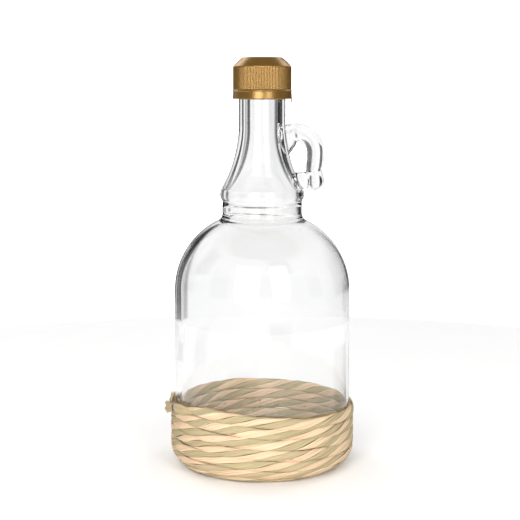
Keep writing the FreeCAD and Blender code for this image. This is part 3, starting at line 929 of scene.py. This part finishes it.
def make_band(material):
    """The tamper band: a lip at its top, a shallow step where the moulding parts, and broken bridges."""
    segments = BAND_SEGMENTS
    outline = Outline(BAND_BORE_R, BAND_TOP_Z)
    outline.line(BAND_R - 0.25, BAND_TOP_Z, 3)
    outline.turn((BAND_R - 0.25, BAND_TOP_Z - 0.28), (BAND_R + 0.02, BAND_TOP_Z - 0.3), 4)
    outline.turn((BAND_R - 0.25, BAND_TOP_Z - 0.28), (BAND_R - 0.2, BAND_TOP_Z - 0.62), 4)
    outline.line(BAND_R - 0.24, BAND_TOP_Z - 1.0, 2)
    outline.line(BAND_R, BAND_BOTTOM_Z + 0.6, 6)
    outline.turn((BAND_R - 0.4, BAND_BOTTOM_Z + 0.45), (BAND_R - 0.4, BAND_BOTTOM_Z), 5)
    outline.line(BAND_HOOK_R + 0.2, BAND_BOTTOM_Z + 0.1, 3)
    outline.line(BAND_HOOK_R, 218.3, 2)
    outline.line(BAND_BORE_R, 218.9, 3)
    rings = lathe(outline.points, segments)
    angle = np.degrees(np.arctan2(rings[:, :, 1], rings[:, :, 0]))
    r = np.hypot(rings[:, :, 0], rings[:, :, 1])
    past = (BAND_NOTCH - angle) % 360
    recess = np.clip(past / 0.8, 0, 1) * np.clip((NOTCH_SPAN - past) / 12, 0, 1) * (past < NOTCH_SPAN)
    low = np.clip((BAND_TOP_Z - 0.6 - rings[:, :, 2]) / 0.3, 0, 1)
    shrink = 1 - NOTCH_DEPTH * recess * low * (r > BAND_BORE_R + 0.4) / r
    rings[:, :, 0] *= shrink
    rings[:, :, 1] *= shrink
    top = (len(rings) - 1) * segments
    seam = [(top + j, top + (j + 1) % segments, (j + 1) % segments, j) for j in range(segments)]
    parts = [(rings.reshape(-1, 3), grid_faces(len(rings), segments) + seam)]
    for n in range(BRIDGES):
        azimuth = TAU * (n + 0.5) / BRIDGES
        parts.append(block(azimuth, BAND_BORE_R + 0.5, 0.5, 0.9, BAND_TOP_Z - 0.1, BAND_TOP_Z + 0.04))
    tab = math.radians(TAB_AZIMUTH)
    parts.append(block(tab, BAND_R - 0.62, 0.55, TAB_WIDTH, BAND_BOTTOM_Z - 2.0, BAND_BOTTOM_Z + 0.4))
    band = add_mesh("tamper_ring", *joined(parts))
    soften_edges(band, 40)
    band.data.materials.append(material)
    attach(band, "band")
    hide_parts("tamper_band")


def block(azimuth, r, thick, width, low, high):
    """A small upright block on a circle."""
    c, s = math.cos(azimuth), math.sin(azimuth)
    points = []
    for z in (low, high):
        for across, out in ((-1, 0), (1, 0), (1, 1), (-1, 1)):
            shrink = 0.86 if z == low and high - low > 1 else 1.0
            reach, side = r + out * thick, across * width / 2 * shrink
            points.append((reach * c - side * s, reach * s + side * c, z))
    faces = [(3, 2, 1, 0), (4, 5, 6, 7), (0, 1, 5, 4), (1, 2, 6, 5), (2, 3, 7, 6), (3, 0, 4, 7)]
    return np.array(points), faces


def soften_edges(piece, degrees):
    """Smooth shading that stops at edges sharper than this."""
    bm = bmesh.new()
    bm.from_mesh(piece.data)
    bmesh.ops.recalc_face_normals(bm, faces=bm.faces)
    for edge in bm.edges:
        edge.smooth = not edge.is_manifold or edge.calc_face_angle() < math.radians(degrees)
    bm.to_mesh(piece.data)
    bm.free()


def make_liner(material):
    outline = Outline(0, LINER_TOP_Z)
    outline.line(LINER_R - 0.2, LINER_TOP_Z, 3)
    outline.turn((LINER_R - 0.2, LINER_TOP_Z - 0.2), (LINER_R, LINER_TOP_Z - 0.2), 4)
    outline.line(LINER_R, LIP_Z + 0.2)
    outline.turn((LINER_R - 0.2, LIP_Z + 0.2), (LINER_R - 0.2, LIP_Z), 4)
    outline.line(0, LIP_Z, 3)
    liner = closed_lathe("cap_seal", outline.points, 160)
    soften_edges(liner, 40)
    liner.data.materials.append(material)
    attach(liner, "liner")
    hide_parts("cap_liner")


def plastic_material(name, light, dark, roughness, scale, specular=0.5, metallic=0.0):
    """Moulded plastic with a faint flow pattern and a fine grain."""
    material, nodes, shader = new_material(name, roughness, specular, metallic)
    place = nodes.place()
    flow = nodes.noise(place, scale, 3.0)
    nodes.put(shader.inputs["Base Color"], nodes.mix(flow, dark + (1,), light + (1,)))
    nodes.put(shader.inputs["Normal"], nodes.bump(nodes.noise(place, 2600.0), 0.12, 0.0002))
    return material


# ---------------------------------------------------------------- rope end, leaf tip and staple

LEAF_STEPS = 26
LEAF_COLUMNS = 9                # on each face
STAPLE_AZIMUTH = -157.0


def leaf(route, widths, thickness, lean):
    """A folded strip of leaf along a route, as points and faces. Lean turns its width about the route."""
    route = np.asarray(route, float)
    given = np.linspace(0, 1, len(route))
    t = np.linspace(0, 1, LEAF_STEPS)
    smooth = lambda values: np.interp(t, given, values)
    centre = np.stack([smooth(route[:, k]) for k in range(3)], axis=1)
    for _ in range(4):
        centre[1:-1] = (centre[:-2] + 2 * centre[1:-1] + centre[2:]) / 4
    width, turn = smooth(widths), np.radians(smooth(lean))
    along = unit(np.gradient(centre, axis=0))
    outward = unit(centre * (1, 1, 0))
    side = unit(np.cross(along, outward))
    face = np.cross(side, along)
    side, face = (side * np.cos(turn)[:, None] + face * np.sin(turn)[:, None],
                  face * np.cos(turn)[:, None] - side * np.sin(turn)[:, None])
    profile = np.linspace(-1, 1, LEAF_COLUMNS)
    fold = 0.22 * (1 - np.abs(profile)) + 0.05 * np.cos(profile * 9)
    half = width[:, None, None] / 2
    middle = centre[:, None, :] + side[:, None, :] * profile[None, :, None] * half + \
        face[:, None, :] * fold[None, :, None] * half
    skin = face[:, None, :] * thickness / 2 * np.clip(1.15 - np.abs(profile), 0.25, 1)[None, :, None]
    rows = np.concatenate([middle + skin, (middle - skin)[:, ::-1]], axis=1)
    return rows.reshape(-1, 3), capped_grid(*rows.shape[:2])


def on_circle(azimuth, r, z):
    angle = math.radians(azimuth)
    return (r * math.cos(angle), r * math.sin(angle), z)


def map_leaves(piece, leaves):
    """UVs for a piece of joined leaves: across each leaf and along it, with its own place in the pattern."""
    columns = LEAF_COLUMNS * 2
    u, v = np.meshgrid(np.arange(columns) / columns, np.arange(LEAF_STEPS) / LEAF_STEPS * 1.5)
    one = np.stack([u.ravel(), v.ravel()], axis=1)
    uv = np.vstack([one + (0, 1.9 * n) for n in range(leaves)])
    mesh = piece.data
    corners = np.empty(len(mesh.loops), dtype=np.int32)
    mesh.loops.foreach_get("vertex_index", corners)
    mesh.uv_layers.new(name="UVMap").data.foreach_set("uv", uv[corners].astype(np.float32).ravel())


def make_rope_end(material):
    """The frayed end of the rope: leaves that pass under the staple and splay beyond it."""
    splay = [  # end azimuth, radius and height, width, lean
        (-181.0, 58.6, 31.8, 5.0, -12),
        (-179.5, 58.4, 35.8, 3.4, 14),
        (-176.0, 57.5, 37.2, 2.2, 35),
        (-175.5, 57.4, 31.8, 2.6, -45),
        (-172.5, 57.0, 33.4, 1.6, -20),
        (-171.5, 56.8, 36.4, 1.2, 50),
    ]
    parts = []
    for n, (azimuth, r, z, width, lean) in enumerate(splay):
        spread = (n - 3) * 0.6
        route = [on_circle(-136.0, 53.6, 38.3 + spread * 0.2),
                 on_circle(-143.0, 54.4 + 0.1 * (n % 3), 38.9 + spread * 0.6),
                 on_circle(-150.0, 55.1 + 0.12 * (n % 3), 38.9 + spread * 0.9),
                 on_circle(STAPLE_AZIMUTH, 55.9 + 0.12 * (n % 3), 38.5 + spread * 0.7),
                 on_circle((STAPLE_AZIMUTH + azimuth) / 2, (56.3 + r) / 2, (38.6 + z) / 2 + 0.5),
                 on_circle(azimuth, r, z)]
        widths, leans = [0.4, 2.4, 3.2, 3.0, width * 1.3, 0.2], [0, 8 - 5 * n, 0, 0, lean * 0.6, lean]
        parts.append(leaf(route, widths, 0.5, leans))
    end = add_mesh("rope_end", *joined(parts))
    map_leaves(end, len(parts))
    end.data.materials.append(material)
    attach(end, "jug")
    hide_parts("rope_end_tail")


def make_leaf_tip(material):
    """Two dry leaf tips that stand up between the rim and the glass."""
    parts = [
        leaf([on_circle(-172, 54.4, 37.4), on_circle(-170, 54.7, 40.0),
              on_circle(-167.5, 54.3, 42.8), on_circle(-165, 53.4, 46.0)],
             [9.0, 7.6, 3.8, 0.1], 0.5, [0, 10, 18, 20]),
        leaf([on_circle(-179, 54.0, 37.4), on_circle(-177.5, 54.3, 40.2), on_circle(-175, 54.0, 43.6)],
             [6.0, 3.8, 0.1], 0.45, [0, 10, 20]),
    ]
    tip = add_mesh("leaf_tip_strip", *joined(parts))
    map_leaves(tip, len(parts))
    tip.data.materials.append(material)
    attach(tip, "jug")
    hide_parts("leaf_tip")


def round_wire(name, route, radius, sides=14):
    """A round wire along points in space, rounded at its ends."""
    route = np.asarray(route, float)
    along = unit(np.gradient(route, axis=0))
    guide = (0.3, 0.2, 0.93)    # a direction that the wire never takes
    first = unit(np.cross(along, guide))
    second = np.cross(along, first)
    angle = np.linspace(0, TAU, sides, endpoint=False)
    distance = np.minimum(np.arange(len(route)), np.arange(len(route))[::-1])
    girth = radius * np.minimum(1, 0.5 + 0.25 * distance)
    points = route[:, None, :] + girth[:, None, None] * (
        first[:, None, :] * np.cos(angle)[None, :, None] + second[:, None, :] * np.sin(angle)[None, :, None])
    return grid_piece(name, points, np.arange(len(route)) / 10)


def make_staple(material):
    """A wire staple driven through the rope's end, a little crooked."""
    low, high = 36.3, 40.8      # heights of its legs
    foot, crown = 54.2, 57.2    # radii of the legs' ends and of its back
    corners = [(foot, high - 0.2), (crown - 0.6, high), (crown, high - 0.6), (crown + 0.05, (low + high) / 2),
               (crown - 0.05, low + 0.6), (crown - 0.6, low), (foot, low + 0.3)]
    steps = np.linspace(0, 1, 40)
    given = np.linspace(0, 1, len(corners))
    r = np.interp(steps, given, [c[0] for c in corners])
    z = np.interp(steps, given, [c[1] for c in corners])
    azimuth = STAPLE_AZIMUTH + 0.35 * (z - low) / (high - low)
    route = [on_circle(a, ri, zi) for a, ri, zi in zip(azimuth, r, z)]
    staple = round_wire("wire_staple", route, 0.4)
    staple.data.materials.append(material)
    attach(staple, "jug")
    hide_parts("end_staple")


def steel_material():
    """Staple wire, dulled in spots."""
    material, nodes, shader = new_material("dull_steel", 0.38, metallic=1.0)
    spots = nodes.noise(nodes.place(), 900.0, 4.0)
    nodes.put(shader.inputs["Base Color"], nodes.mix(spots, (0.10, 0.095, 0.09, 1), (0.32, 0.32, 0.33, 1)))
    return material


# ---------------------------------------------------------------- the scene

# three colours of the leaf, and the colour of the painted shade in its creases, which also darkens its fibres
PALE_LEAF = ((0.72, 0.53, 0.345), (0.82, 0.625, 0.42), (0.77, 0.52, 0.36)), (0.22, 0.13, 0.05)
GREEN_LEAF = ((0.42, 0.355, 0.20), (0.52, 0.43, 0.26), (0.56, 0.435, 0.28)), (0.17, 0.12, 0.045)
BROWN_LEAF = ((0.56, 0.43, 0.26), (0.66, 0.52, 0.33), (0.48, 0.33, 0.19)), (0.24, 0.15, 0.08)
END_LEAF = ((0.50, 0.41, 0.23), (0.62, 0.50, 0.30), (0.66, 0.50, 0.32)), (0.22, 0.15, 0.05)
GOLD = (0.29, 0.158, 0.032), (0.25, 0.132, 0.024)           # light and dark
LINER_WHITE = (0.85, 0.85, 0.83), (0.80, 0.80, 0.78)

make_camera()
make_world()
scene.view_settings.view_transform = "Standard"

make_floor()
make_lights(make_glass(glass_material()))
make_rope(palm_material("palm_pale", *PALE_LEAF), palm_material("palm_green", *GREEN_LEAF))
make_rope_end(palm_material("palm_end", *END_LEAF))
make_leaf_tip(palm_material("palm_brown", *BROWN_LEAF))
make_staple(steel_material())
gold = plastic_material("gold_plastic", *GOLD, roughness=0.30, scale=60.0, specular=1.1, metallic=0.6)
make_cap(gold)
make_band(gold)
make_liner(plastic_material("white_liner", *LINER_WHITE, roughness=0.55, scale=90.0))
